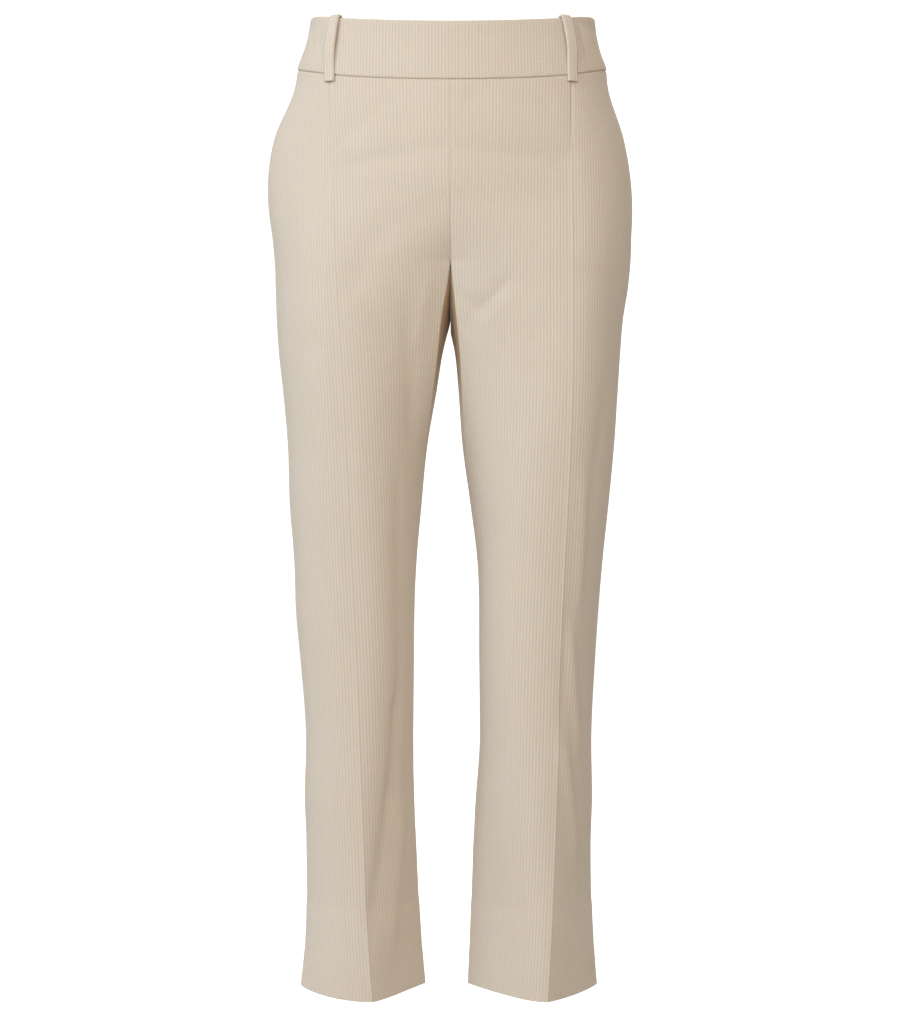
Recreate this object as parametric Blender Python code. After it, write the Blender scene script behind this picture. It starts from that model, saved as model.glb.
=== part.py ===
"""High-waisted corduroy trousers to the ankle, filled out as they hang when worn.

Metres, +Z up. The front faces -Y and the wearer's left leg is at +X. The origin is the
centre of the waistband, where the wearer's waist holds the trousers up.

Each leg is lofted through horizontal sections. A section has four quarter arcs: from the
pressed front crease out to the side seam and in to the inner seam, and the same behind.
"""

from collections import namedtuple

import bpy
import numpy as np

# ---------------------------------------------------------------- driving sizes
CLOTH = 0.0018  # one layer of 8-wale corduroy
BAND_CLOTH = 0.0026  # the band is two layers and an interlining
LOOP_CLOTH = 0.0020  # a folded strip, pressed
SEAM_GAP = 0.0003

# Heights at the side seam, the centre front and the centre back, and how long the edge stays
# level by the side seam.
Edge = namedtuple("Edge", "side front back hollow")
BAND_TOP = Edge(side=0.0262, front=0.0102, back=0.0350, hollow=2.2)
WAIST_SEAM = Edge(side=-0.0243, front=-0.0465, back=-0.0200, hollow=1.5)

CROTCH_HEIGHT = -0.2175
CROTCH_Y = -0.079
CROTCH_GAP, CROTCH_GAP_REACH = 0.0010, 0.020  # the seam lies this much more open at the crotch
FORK_FRONT, FORK_BACK = 0.070, 0.100  # heights over which the centre seam turns under
SOFTENED = 0.038  # the cloth beside the end of the centre seam is rounded over this height
SOFTENING_REACH = 0.060
SOFTENING_STEPS = 11
SEAM_PULL = 5  # how closely the seam's own line is kept to the seam

HEM_AT_SIDE = -0.9185
HEM_DROP_AT_CREASE = 0.005

LOOP_WIDTH = 0.0111
BACK_LOOP_ACROSS = 0.68  # place of a back loop between the side seam (0) and centre back (1)

MOUTH_TOP = -0.038
MOUTH_FOOT = -0.185
MOUTH_STAND_OFF = 0.0016
FACING_CLEARANCE = 0.0006
FACING_COLUMNS = 6
FACING_OVERLAP = 0.012  # the facing runs this far past each end of the pocket mouth

NEAR_CENTRE = 0.002  # an edge closer to the centre plane than this is a centre seam's
LEAST_MITRE = 0.4  # a mitred edge is at most the wall's thickness over this
SHARP_DEGREES = 50
SEAM_STEP = 0.012  # first and last step across a panel, short so that its edge stands square
COLUMNS = 16
BODY_ROWS, FORK_ROWS, LEG_ROWS = 4, 5, 17
BAND_ROWS = 2

RIGHT, LEFT = "right", "left"
FRONT, BACK = "front", "back"
SIGN = {RIGHT: -1, LEFT: 1}
FACING_SIGN = {FRONT: -1, BACK: 1}

# ---------------------------------------------------------------- the garment's form
# Seen from the front: distances from the centre plane, a row for each section.
Outline = namedtuple("Outline", "height outer crease inseam")
OUTLINES = {
    RIGHT: [
        Outline(0.040, 0.134, 0.1080, 0.0),
        Outline(0.026, 0.136, 0.1095, 0.0),
        Outline(0.000, 0.141, 0.1120, 0.0),
        Outline(-0.022, 0.149, 0.1145, 0.0),
        Outline(-0.045, 0.153, 0.1150, 0.0),
        Outline(-0.090, 0.171, 0.1135, 0.0),
        Outline(-0.145, 0.178, 0.1120, 0.0),
        Outline(-0.190, 0.1745, 0.1110, 0.0),
        Outline(-0.2175, 0.172, 0.1100, 0.0),
        Outline(-0.235, 0.1715, 0.1090, 0.0018),
        Outline(-0.270, 0.1702, 0.1070, 0.0078),
        Outline(-0.300, 0.1682, 0.1050, 0.0112),
        Outline(-0.340, 0.1638, 0.1025, 0.0160),
        Outline(-0.390, 0.1593, 0.1000, 0.0235),
        Outline(-0.450, 0.1573, 0.0972, 0.0288),
        Outline(-0.500, 0.1532, 0.0950, 0.0330),
        Outline(-0.560, 0.1508, 0.0920, 0.0355),
        Outline(-0.600, 0.1470, 0.0900, 0.0358),
        Outline(-0.680, 0.1415, 0.0870, 0.0362),
        Outline(-0.735, 0.1428, 0.0848, 0.0352),
        Outline(-0.780, 0.1412, 0.0830, 0.0332),
        Outline(-0.870, 0.1415, 0.0790, 0.0285),
        Outline(-0.940, 0.1485, 0.0740, 0.0225),
    ],
    LEFT: [
        Outline(0.040, 0.139, 0.1075, 0.0),
        Outline(0.026, 0.1405, 0.1090, 0.0),
        Outline(0.006, 0.1430, 0.1120, 0.0),
        Outline(-0.009, 0.1468, 0.1140, 0.0),
        Outline(-0.022, 0.1518, 0.1150, 0.0),
        Outline(-0.045, 0.1545, 0.1160, 0.0),
        Outline(-0.090, 0.168, 0.1155, 0.0),
        Outline(-0.145, 0.1765, 0.1150, 0.0),
        Outline(-0.190, 0.1772, 0.1150, 0.0),
        Outline(-0.2175, 0.1760, 0.1150, 0.0),
        Outline(-0.235, 0.1742, 0.1150, 0.0010),
        Outline(-0.270, 0.1687, 0.1150, 0.0050),
        Outline(-0.300, 0.1662, 0.1150, 0.0078),
        Outline(-0.340, 0.1635, 0.1145, 0.0100),
        Outline(-0.390, 0.1602, 0.1130, 0.0125),
        Outline(-0.450, 0.1545, 0.1105, 0.0200),
        Outline(-0.500, 0.1492, 0.1080, 0.0260),
        Outline(-0.600, 0.1416, 0.1040, 0.0282),
        Outline(-0.680, 0.1380, 0.1020, 0.0285),
        Outline(-0.735, 0.1388, 0.1006, 0.0245),
        Outline(-0.780, 0.1374, 0.0990, 0.0220),
        Outline(-0.870, 0.1395, 0.0950, 0.0190),
        Outline(-0.940, 0.1450, 0.0910, 0.0155),
    ],
}

# Seen from the side: y of the front crease, the back crease, the side seam and the inseam,
# with the back crease's distance from the centre plane. The last two columns are the headings,
# in degrees from straight across, with which the front and the back reach the inseam.
Profile = namedtuple("Profile", "height front back side inner back_crease front_in back_in")
PROFILES = [
    Profile(0.040, -0.046, 0.060, 0.000, 0.000, 0.085, 90, 90),
    Profile(0.000, -0.050, 0.065, 0.000, 0.000, 0.087, 90, 90),
    Profile(-0.045, -0.060, 0.078, 0.002, 0.000, 0.090, 90, 90),
    Profile(-0.090, -0.070, 0.096, 0.004, 0.000, 0.092, 90, 90),
    Profile(-0.145, -0.080, 0.115, 0.006, 0.000, 0.094, 90, 90),
    Profile(-0.190, -0.090, 0.121, 0.006, 0.000, 0.094, 90, 90),
    Profile(-0.2175, -0.094, 0.119, 0.006, -0.079, 0.093, 32, 112),
    Profile(-0.235, -0.095, 0.117, 0.006, -0.077, 0.093, 30, 110),
    Profile(-0.270, -0.097, 0.112, 0.005, -0.071, 0.092, 30, 105),
    Profile(-0.300, -0.097, 0.107, 0.005, -0.062, 0.091, 38, 100),
    Profile(-0.340, -0.096, 0.101, 0.004, -0.047, 0.090, 54, 98),
    Profile(-0.400, -0.092, 0.094, 0.003, -0.022, 0.089, 74, 96),
    Profile(-0.500, -0.084, 0.085, 0.002, 0.002, 0.088, 88, 92),
    Profile(-0.600, -0.077, 0.080, 0.002, 0.004, 0.087, 90, 86),
    Profile(-0.750, -0.073, 0.077, 0.002, 0.004, 0.085, 80, 76),
    Profile(-0.940, -0.070, 0.072, 0.002, 0.003, 0.082, 62, 62),
]

# The centre seams seen from the side, above the fork.
Centre = namedtuple("Centre", "height front back")
CENTRES = [
    Centre(0.040, -0.077, 0.083),
    Centre(0.000, -0.079, 0.087),
    Centre(-0.045, -0.086, 0.099),
    Centre(-0.090, -0.094, 0.115),
    Centre(-0.145, -0.099, 0.127),
    Centre(-0.2175, -0.099, 0.130),
]

# How far the cloth has turned back from straight across where it leaves a crease, in
# degrees. Where the two sides add up to nothing the crease has faded out. Fullness is the
# handle length of an arc as a share of its chord: 0.56 is round and less is flatter.
Fold = namedtuple("Fold", "height right_out right_in left_out left_in back_out back_in fullness")
FOLDS = [
    Fold(0.040, 38, -36, 38, -36, 30, -28, 0.56),
    Fold(-0.045, 33, -32, 28, -32, 28, -26, 0.56),
    Fold(-0.100, 25, -25, 18, -24, 24, -20, 0.56),
    Fold(-0.160, 19, -21, 11, -17, 20, -14, 0.56),
    Fold(-0.2175, 12, -16, 7, -10, 16, 2, 0.57),
    Fold(-0.290, 6, -14, 7, -8, 16, 10, 0.60),
    Fold(-0.400, 3, -13, 15, -13, 20, 16, 0.62),
    Fold(-0.550, 2, -9, 29, -18, 26, 24, 0.62),
    Fold(-0.700, 2, 4, 38, -19, 32, 32, 0.58),
    Fold(-0.800, 2, 18, 41, -15, 34, 34, 0.53),
    Fold(-0.940, 2, 30, 43, -9, 36, 36, 0.47),
]

# The inner face of a belt loop: height from the waist seam or from the band's top edge,
# and how far it stands off the cloth under it.
LoopPoint = namedtuple("LoopPoint", "start height stand_off")
LOOP_PATH = [
    LoopPoint("seam", -0.0072, 0.0003),
    LoopPoint("seam", -0.0010, 0.0006),
    LoopPoint("seam", 0.0060, 0.0012),
    LoopPoint("seam", 0.0150, 0.0030),
    LoopPoint("seam", 0.0280, 0.0048),
    LoopPoint("top", -0.0090, 0.0046),
    LoopPoint("top", -0.0025, 0.0036),
    LoopPoint("top", 0.0010, 0.0022),
    LoopPoint("top", 0.0016, 0.0004),
    LoopPoint("top", 0.0012, -0.0020),
]

# ---------------------------------------------------------------- colours
Finish = namedtuple("Finish", "name srgb roughness")
CORDUROY = Finish("beige_corduroy", "D9CCBB", 0.95)
BAND_FINISH = Finish("beige_corduroy_band", "DACEBD", 0.95)
TRIM_FINISH = Finish("beige_corduroy_trim", "C9BBA8", 0.95)


def clear_scene():
    for obj in list(bpy.data.objects):
        bpy.data.objects.remove(obj, do_unlink=True)


def linear_colour(srgb):
    channels = [int(srgb[i : i + 2], 16) / 255 for i in (0, 2, 4)]
    return [c / 12.92 if c <= 0.04045 else ((c + 0.055) / 1.055) ** 2.4 for c in channels] + [1.0]


def material_for(finish):
    """The finish's material, made at its first use."""
    if finish.name in bpy.data.materials:
        return bpy.data.materials[finish.name]
    material = bpy.data.materials.new(finish.name)
    material.use_nodes = True
    shader = material.node_tree.nodes["Principled BSDF"]
    shader.inputs["Base Color"].default_value = linear_colour(finish.srgb)
    shader.inputs["Roughness"].default_value = finish.roughness
    shader.inputs["Metallic"].default_value = 0.0
    return material


# ---------------------------------------------------------------- reading the tables
def follow(rows, name, height):
    """A column of a table at these heights, on a smooth curve through its rows."""
    rows = sorted(rows, key=lambda row: row.height)
    knots = np.array([row.height for row in rows])
    values = np.array([getattr(row, name) for row in rows], float)
    step = np.diff(knots)
    slope = np.diff(values) / step
    tangent = np.empty_like(values)
    tangent[0], tangent[-1] = slope[0], slope[-1]
    tangent[1:-1] = (slope[:-1] * step[1:] + slope[1:] * step[:-1]) / (step[1:] + step[:-1])
    turning = slope[:-1] * slope[1:] <= 0
    tangent[1:-1][turning] *= 0.35
    height = np.clip(height, knots[0], knots[-1])
    i = np.clip(np.searchsorted(knots, height) - 1, 0, len(step) - 1)
    t = (height - knots[i]) / step[i]
    rise = (1 + 2 * t) * (1 - t) ** 2 * values[i] + t * t * (3 - 2 * t) * values[i + 1]
    bend = t * (1 - t) ** 2 * tangent[i] - t * t * (1 - t) * tangent[i + 1]
    return rise + bend * step[i]


def heading(degrees, x_sign, y_sign):
    angle = np.radians(degrees)
    return np.stack([x_sign * np.cos(angle), y_sign * np.sin(angle)], -1)


def arc_between(start, leaving, end, arriving, fullness, t):
    """Points on a rounded arc that leaves start along one heading and reaches end along another."""
    chord = end - start
    length = np.linalg.norm(chord, axis=-1)
    along = chord / length[..., None]

    def turned(a, b):
        return np.arccos(np.clip((a * b).sum(-1), -1, 1))

    least, most = np.radians(8), np.radians(150)
    first = np.maximum(turned(leaving, along), least)
    last = np.maximum(turned(along, arriving), least)
    whole = np.sin(np.minimum(first + last, most))
    reach = fullness * length / whole
    near = np.minimum(reach * np.sin(last), 0.75 * length)[..., None]
    far = np.minimum(reach * np.sin(first), 0.75 * length)[..., None]
    t = t[..., None]
    handles = 3 * (1 - t) ** 2 * t * (start + leaving * near)
    handles = handles + 3 * (1 - t) * t * t * (end - arriving * far)
    return (1 - t) ** 3 * start + handles + t**3 * end


# ---------------------------------------------------------------- the surface of the cloth
def mouth_opening(height):
    """1 along the middle of the pocket mouth, easing to 0 at its bar tacks."""
    share = np.clip((MOUTH_TOP - height) / (MOUTH_TOP - MOUTH_FOOT), 0, 1)
    return np.sin(np.pi * share) ** 0.6


def inner_end(side, face, height):
    """Where a section ends inside, on the centre seam or the inseam, and its heading there."""
    fork = FORK_FRONT if face == FRONT else FORK_BACK
    centre_y = follow(CENTRES, face, height)
    above = height > CROTCH_HEIGHT
    climb = np.clip((height - CROTCH_HEIGHT) / fork, 0, 1)
    round_share = 1 - (1 - climb) ** 2 if face == FRONT else np.sqrt(1 - (1 - climb) ** 2)
    y = np.where(
        above,
        CROTCH_Y + (centre_y - CROTCH_Y) * round_share,
        follow(PROFILES, "inner", height),
    )
    inseam = np.maximum(follow(OUTLINES[side], "inseam", height), 0.0)
    x = np.where(above, 0.0, inseam) + SEAM_GAP / 2
    gap = SEAM_GAP + CROTCH_GAP * np.exp(-(((height - CROTCH_HEIGHT) / CROTCH_GAP_REACH) ** 2))
    y = y + FACING_SIGN[face] * gap / 2
    inseam_degrees = follow(PROFILES, face + "_in", height)
    at_crotch = follow(PROFILES, face + "_in", np.full_like(height, CROTCH_HEIGHT))
    degrees = np.where(above, at_crotch * (1 - round_share**1.5), inseam_degrees)
    return np.stack([x, y], -1), degrees


def soft_inner_end(side, face, height):
    """The inner end averaged over a short height, without the corner at the end of the seam."""
    reach = SOFTENED * np.exp(-(((height - CROTCH_HEIGHT) / SOFTENING_REACH) ** 2))
    steps = np.linspace(-1, 1, SOFTENING_STEPS)
    weights = np.cos(steps * np.pi / 2.2) ** 2
    ends = [inner_end(side, face, height + step * reach) for step in steps]
    place = sum(weight * end[0] for weight, end in zip(weights, ends)) / weights.sum()
    degrees = sum(weight * end[1] for weight, end in zip(weights, ends)) / weights.sum()
    return place, degrees


def surface(side, face, across, height, mouth=0.0):
    """Points of the cloth's outer face: across is 0 at the side seam, 0.5 at the crease and 1 inside.

    Between the thighs the legs press flat on each other.
    """
    across, height = np.broadcast_arrays(np.asarray(across, float), np.asarray(height, float))
    to_front = FACING_SIGN[face]
    crease_x = follow(OUTLINES[side], "crease", height)
    if face == BACK:
        crease_x = follow(PROFILES, "back_crease", height)
    crease = np.stack([crease_x, follow(PROFILES, face, height)], -1)
    opening = mouth * mouth_opening(height)
    seam_x = follow(OUTLINES[side], "outer", height) + MOUTH_STAND_OFF * opening
    seam_y = follow(PROFILES, "side", height) + to_front * (SEAM_GAP / 2 + 0.0006 * opening)
    seam = np.stack([seam_x, seam_y], -1)
    inside, inside_degrees = soft_inner_end(side, face, height)
    pull = inner_end(side, face, height)[0] - inside
    prefix = side if face == FRONT else "back"
    fold_out = follow(FOLDS, prefix + "_out", height)
    fold_in = follow(FOLDS, prefix + "_in", height)
    fullness = follow(FOLDS, "fullness", height)
    square = np.full_like(height, 90.0)
    outer = arc_between(
        crease,
        heading(fold_out, 1, -to_front),
        seam,
        heading(square, 1, -to_front),
        fullness,
        np.clip(1 - 2 * across, 0, 1),
    )
    inner = arc_between(
        crease,
        heading(fold_in, -1, -to_front),
        inside,
        heading(inside_degrees, -1, -to_front),
        fullness,
        np.clip(2 * across - 1, 0, 1),
    )
    inner = inner + pull * np.clip(2 * across - 1, 0, 1)[..., None] ** SEAM_PULL
    plan = np.where((across < 0.5)[..., None], outer, inner)
    x = SIGN[side] * np.maximum(plan[..., 0], SEAM_GAP / 2)
    return np.stack([x, plan[..., 1], height], -1)


def edge_height(edge, face, across):
    """Height of an edge that runs round the waist, dipping to the front and rising to the back."""
    centre = edge.front if face == FRONT else edge.back
    share = np.sin(np.pi / 2 * np.clip(np.asarray(across, float), 0, 1)) ** edge.hollow
    return edge.side + (centre - edge.side) * share


def band_top(face, across):
    return edge_height(BAND_TOP, face, across)


def waist_seam(face, across):
    return edge_height(WAIST_SEAM, face, across)


def hem(across):
    """Height of the hem, a little longer at the creases."""
    return HEM_AT_SIDE - HEM_DROP_AT_CREASE * np.sin(np.pi * np.asarray(across, float)) ** 2


def steps_across(count):
    """Places across a panel, with a short step beside each seam and one place on the crease."""
    middle = np.linspace(SEAM_STEP, 1 - SEAM_STEP, count - 1)
    return np.concatenate([[0], middle, [1]])


def panel_levels(face):
    """Heights of a panel's rows at its inner edge, closer together where the fork turns under."""
    fork = FORK_FRONT if face == FRONT else FORK_BACK
    top = waist_seam(face, 1.0) - SEAM_GAP / 2
    body = np.linspace(top, CROTCH_HEIGHT + fork, BODY_ROWS + 1)[:-1]
    angle = np.linspace(np.pi / 2, 0, FORK_ROWS + 1)
    turning = CROTCH_HEIGHT + fork * (1 - np.cos(angle))
    share = np.linspace(0, 1, LEG_ROWS + 1)[1:] ** 1.3
    leg = CROTCH_HEIGHT + (hem(1.0) - CROTCH_HEIGHT) * share
    return np.concatenate([body, turning, leg])


def panel_heights(face, across):
    """Height of each point of a panel: rows follow the waist seam above and the hem below."""
    level = panel_levels(face)[:, None]
    top = level[0]
    near_top = np.clip((level - CROTCH_HEIGHT) / (top - CROTCH_HEIGHT), 0, 1) ** 1.5
    near_hem = np.clip((CROTCH_HEIGHT - level) / (CROTCH_HEIGHT - hem(1.0)), 0, 1) ** 3
    seam_change = waist_seam(face, across) - waist_seam(face, 1.0)
    return level + seam_change * near_top + (hem(across) - hem(1.0)) * near_hem


# ---------------------------------------------------------------- making solids
def facing_out(grid, side, face):
    """The grid with its columns in the order that points its faces away from the body."""
    return grid if SIGN[side] * FACING_SIGN[face] > 0 else grid[:, ::-1]


def outward_normals(grid):
    """Unit normals of a grid, on the side that its faces point to."""
    normal = np.cross(np.gradient(grid, axis=0), np.gradient(grid, axis=1))
    return normal / np.linalg.norm(normal, axis=-1, keepdims=True)


def seam_planes(grid):
    """The axes that each edge point keeps, so that the edge stays in the plane of its seam.

    That is z on a waist seam, a top edge or a hem, y on a side seam or an inseam, and x on a
    centre seam.
    """
    kept = np.zeros(grid.shape, bool)
    kept[[0, -1], :, 2] = True
    for column in (0, -1):
        across_the_body = np.abs(grid[:, column, 0]) < NEAR_CENTRE
        kept[:, column, 0] = across_the_body & (grid[:, column, 2] > CROTCH_HEIGHT - SEAM_GAP)
        kept[:, column, 1] = ~across_the_body | (grid[:, column, 2] < CROTCH_HEIGHT + SEAM_GAP)
    return kept


def cloth_wall(name, grid, thickness, finish, collection, mitred=True):
    """A wall of cloth inwards from a grid of points on its outer face.

    Where two panels meet at an angle, each one's edge stays in the seam's plane, so that they
    are mitred and don't cross.
    """
    normal = outward_normals(grid)
    inwards = np.where(seam_planes(grid) & mitred, 0.0, -normal)
    inwards /= np.linalg.norm(inwards, axis=-1, keepdims=True)
    square = np.clip(-(inwards * normal).sum(-1, keepdims=True), LEAST_MITRE, 1)
    inner = grid + inwards * thickness / square
    rows, columns = grid.shape[:2]
    count = rows * columns
    index = np.arange(count).reshape(rows, columns)
    faces = []
    for i in range(rows - 1):
        for j in range(columns - 1):
            quad = index[i, j], index[i + 1, j], index[i + 1, j + 1], index[i, j + 1]
            faces.append(quad)
            faces.append([corner + count for corner in reversed(quad)])
    rim = [*index[0, :-1], *index[:-1, -1], *index[-1, :0:-1], *index[:0:-1, 0]]
    for here, after in zip(rim, rim[1:] + rim[:1]):
        faces.append((here, after, after + count, here + count))
    mesh = bpy.data.meshes.new(name)
    points = np.concatenate([grid.reshape(-1, 3), inner.reshape(-1, 3)])
    mesh.from_pydata(points.tolist(), [], [[int(corner) for corner in face] for face in faces])
    mesh.materials.append(material_for(finish))
    mesh.shade_smooth()
    mesh.set_sharp_from_angle(angle=np.radians(SHARP_DEGREES))
    obj = bpy.data.objects.new(name, mesh)
    collection.objects.link(obj)
    return obj


def leg_panel(side, face, collection):
    """One of the four panels, from the waist seam to the hem."""
    across = steps_across(COLUMNS)
    mouth = 1.0 if face == FRONT else 0.0
    grid = surface(side, face, across, panel_heights(face, across), mouth)
    name = f"{face}_panel_{side}"
    return cloth_wall(name, facing_out(grid, side, face), CLOTH, CORDUROY, collection)


def band_grid(side, face):
    """The band on one quarter of the body, rows from its top edge down."""
    across = steps_across(COLUMNS)
    top = band_top(face, across)
    foot = waist_seam(face, across) + SEAM_GAP / 2
    share = np.linspace(0, 1, BAND_ROWS + 1)[:, None]
    return surface(side, face, across, top + (foot - top) * share)


def front_band(collection):
    """The front of the waistband, in one piece from side seam to side seam."""
    right = band_grid(RIGHT, FRONT)
    left = band_grid(LEFT, FRONT)[:, ::-1]
    whole = np.concatenate([right[:, :-1], left[:, 1:]], axis=1)
    return cloth_wall("waistband_front", whole, BAND_CLOTH, BAND_FINISH, collection)


def back_band(side, collection):
    """Half of the back of the waistband, which ends at the centre back seam."""
    grid = facing_out(band_grid(side, BACK), side, BACK)
    return cloth_wall(f"waistband_back_{side}", grid, BAND_CLOTH, BAND_FINISH, collection)


def pocket_facing(side, collection):
    """The strip behind the pocket mouth, made from the front panel's points moved inwards."""
    across = steps_across(COLUMNS)
    heights = panel_heights(FRONT, across)
    panel = facing_out(surface(side, FRONT, across, heights), side, FRONT)
    moved = facing_out(panel - outward_normals(panel) * (CLOTH + FACING_CLEARANCE), side, FRONT)
    low, high = MOUTH_FOOT - FACING_OVERLAP, MOUTH_TOP + FACING_OVERLAP
    at_seam = heights[:, 0]
    strip = moved[(at_seam > low) & (at_seam < high), :FACING_COLUMNS]
    name = f"pocket_facing_{side}"
    return cloth_wall(name, facing_out(strip, side, FRONT), CLOTH, TRIM_FINISH, collection, mitred=False)


def belt_loop(side, face, across, collection):
    """A strip that stands off the band and is sewn down under the seam and over the top edge."""
    start = {"seam": waist_seam(face, across), "top": band_top(face, across)}
    middle = (start["seam"] + start["top"]) / 2
    before = surface(side, face, across - 0.01, middle)
    after = surface(side, face, across + 0.01, middle)
    along = (after - before) * [1, 1, 0]
    along /= np.linalg.norm(along)
    outward = np.array([along[1], -along[0], 0.0])
    if outward[1] * FACING_SIGN[face] < 0:
        outward = -outward
    rows = []
    for point in LOOP_PATH:
        height = start[point.start] + point.height
        place = surface(side, face, across, height) + outward * point.stand_off
        rows.append([place - along * LOOP_WIDTH / 2, place + along * LOOP_WIDTH / 2])
    grid = np.array(rows)
    if np.dot(outward_normals(grid)[3, 0], outward) > 0:
        grid = grid[:, ::-1]
    name = f"belt_loop_{face}_{side}"
    return cloth_wall(name, grid, LOOP_CLOTH, TRIM_FINISH, collection, mitred=False)


def build_trousers():
    clear_scene()
    collection = bpy.data.collections.new("corduroy_trousers")
    bpy.context.scene.collection.children.link(collection)
    front_band(collection)
    for side in (RIGHT, LEFT):
        leg_panel(side, FRONT, collection)
        leg_panel(side, BACK, collection)
        back_band(side, collection)
        pocket_facing(side, collection)
        belt_loop(side, FRONT, 0.5, collection)
        belt_loop(side, BACK, BACK_LOOP_ACROSS, collection)


build_trousers()
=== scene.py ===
# %% [markdown]
# # Corduroy trousers
#
# This lesson builds a pair of high-waisted corduroy trousers as a tailor would see them: flat
# pieces of ribbed cloth that take their form from darts, seams and a hard-pressed crease down
# each leg. The solids from the construction model give the size and place of every piece. Here
# each solid gets a finer shell of cloth on the same form, with real ribs, soft folds, seams and
# stitches.

# %% Load the construction model
from collections import namedtuple

import bpy
import numpy as np
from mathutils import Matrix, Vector


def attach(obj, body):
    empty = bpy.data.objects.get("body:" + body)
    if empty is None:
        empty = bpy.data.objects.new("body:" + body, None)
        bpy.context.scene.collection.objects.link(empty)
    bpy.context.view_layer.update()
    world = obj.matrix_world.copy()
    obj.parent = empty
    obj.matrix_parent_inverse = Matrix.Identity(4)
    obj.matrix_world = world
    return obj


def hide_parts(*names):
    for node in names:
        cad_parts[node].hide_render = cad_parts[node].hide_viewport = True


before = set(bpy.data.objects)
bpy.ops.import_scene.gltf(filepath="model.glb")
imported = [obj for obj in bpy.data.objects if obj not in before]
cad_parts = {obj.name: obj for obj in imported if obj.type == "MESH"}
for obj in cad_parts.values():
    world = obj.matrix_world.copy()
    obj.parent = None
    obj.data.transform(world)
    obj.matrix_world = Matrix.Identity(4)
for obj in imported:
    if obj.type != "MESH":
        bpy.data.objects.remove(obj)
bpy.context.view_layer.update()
print("cloth pieces to dress:", sorted(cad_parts))

MM = 0.001
RIGHT, LEFT = "right", "left"
FRONT, BACK = "front", "back"
SIGN = {RIGHT: -1, LEFT: 1}
FACING_SIGN = {FRONT: -1, BACK: 1}

# %% [markdown]
# ## The camera
#
# Clothes are pictured from a few metres off with a long lens, level with the middle of the
# garment, so that the waist and the hems are seen at the same slant. The picture's height takes
# in just under a metre at the depth of the side seams.

# %% Camera
CAMERA_DISTANCE = 2.5
PICTURE_HEIGHT = 0.9976
CAMERA_HEIGHT = -0.4537
SENSOR = 36.0

camera_data = bpy.data.cameras.new("camera")
camera_data.sensor_fit = "VERTICAL"
camera_data.sensor_height = SENSOR
camera_data.lens = SENSOR * CAMERA_DISTANCE / PICTURE_HEIGHT
camera = bpy.data.objects.new("camera", camera_data)
camera.location = (-0.0005, -CAMERA_DISTANCE, CAMERA_HEIGHT)
camera.rotation_euler = (np.pi / 2, 0, 0)
bpy.context.scene.collection.objects.link(camera)
bpy.context.scene.camera = camera
print("lens", round(camera_data.lens, 1), "mm")

# %% [markdown]
# ## The form that the cloth takes
#
# Trousers have no flat side and no simple curve, but every level cut through a leg is made of
# four arcs: from the pressed crease in front out to the side seam, from that crease in to the
# inner seam, and the same two behind. So the whole form can be kept as short tables of such
# cuts, and any point of the cloth is worked out from them. These are the same tables that shaped
# the solids, which is what keeps the cloth on them.

# %% Tables of sections
SEAM_GAP = 0.04 * MM

Edge = namedtuple("Edge", "side front back hollow")
BAND_TOP = Edge(side=0.0262, front=0.0102, back=0.0350, hollow=2.2)
WAIST_SEAM = Edge(side=-0.0243, front=-0.0465, back=-0.0200, hollow=1.5)

CROTCH_HEIGHT = -0.2175
CROTCH_Y = -0.079
FORK = {FRONT: 0.070, BACK: 0.100}

HEM_AT_SIDE = -0.9185
HEM_DROP_AT_CREASE = 5.0 * MM

MOUTH_TOP = -0.038
MOUTH_FOOT = -0.185
MOUTH_STAND_OFF = 1.6 * MM

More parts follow.
